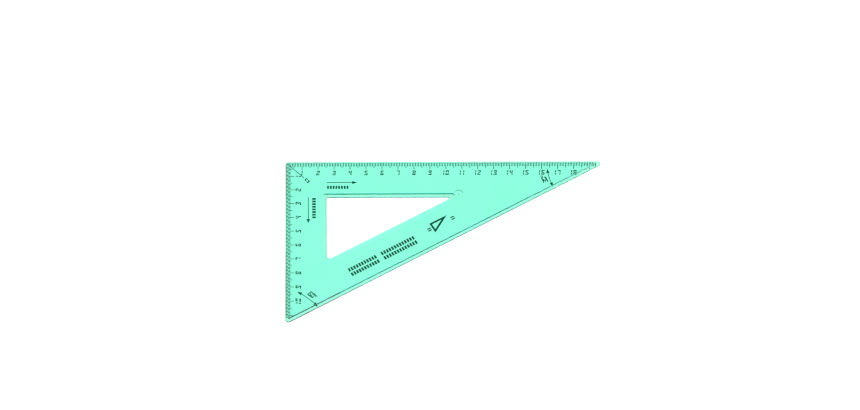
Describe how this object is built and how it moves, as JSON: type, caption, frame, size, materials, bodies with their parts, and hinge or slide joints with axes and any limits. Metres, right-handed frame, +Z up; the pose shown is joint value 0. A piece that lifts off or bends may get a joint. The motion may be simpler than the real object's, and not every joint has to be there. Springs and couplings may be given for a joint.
{
  "type": "set square",
  "caption": "Drawing triangle of tinted clear plastic with 30, 60 and 90 degree corners, a triangular opening, a thin rim and stamped centimetre scales on both legs.",
  "frame": {"origin": "middle of the bounding box of the underside, at the level of the underside", "axes": "+X along the long scale from the zero corner to the 30 degree tip, +Y from the 60 degree corner to the long scale's edge, +Z up out of the top face; the scales read correctly from +Z"},
  "size_m": [0.1972, 0.1148, 0.0026],
  "materials": {
    "tinted_clear_plastic": "clear mint green moulding, polished",
    "stamping_film": "near-black green hot-stamped film"
  },
  "bodies": {
    "root": {"plate": "tinted_clear_plastic", "long_scale_millimetre_marks": "stamping_film", "long_scale_half_centimetre_marks": "stamping_film", "long_scale_centimetre_marks": "stamping_film", "long_scale_numerals": "stamping_film", "short_scale_millimetre_marks": "stamping_film", "short_scale_half_centimetre_marks": "stamping_film", "short_scale_centimetre_marks": "stamping_film", "short_scale_numerals": "stamping_film", "zero_leader_line": "stamping_film", "zero_numeral": "stamping_film", "right_hand_arrow": "stamping_film", "left_hand_arrow": "stamping_film", "right_hand_caption": "stamping_film", "left_hand_caption": "stamping_film", "sixty_degree_arrow": "stamping_film", "sixty_degree_label": "stamping_film", "thirty_degree_arrow": "stamping_film", "thirty_degree_label": "stamping_film", "care_legend": "stamping_film", "maker_emblem": "stamping_film"}
  },
  "joints": []
}
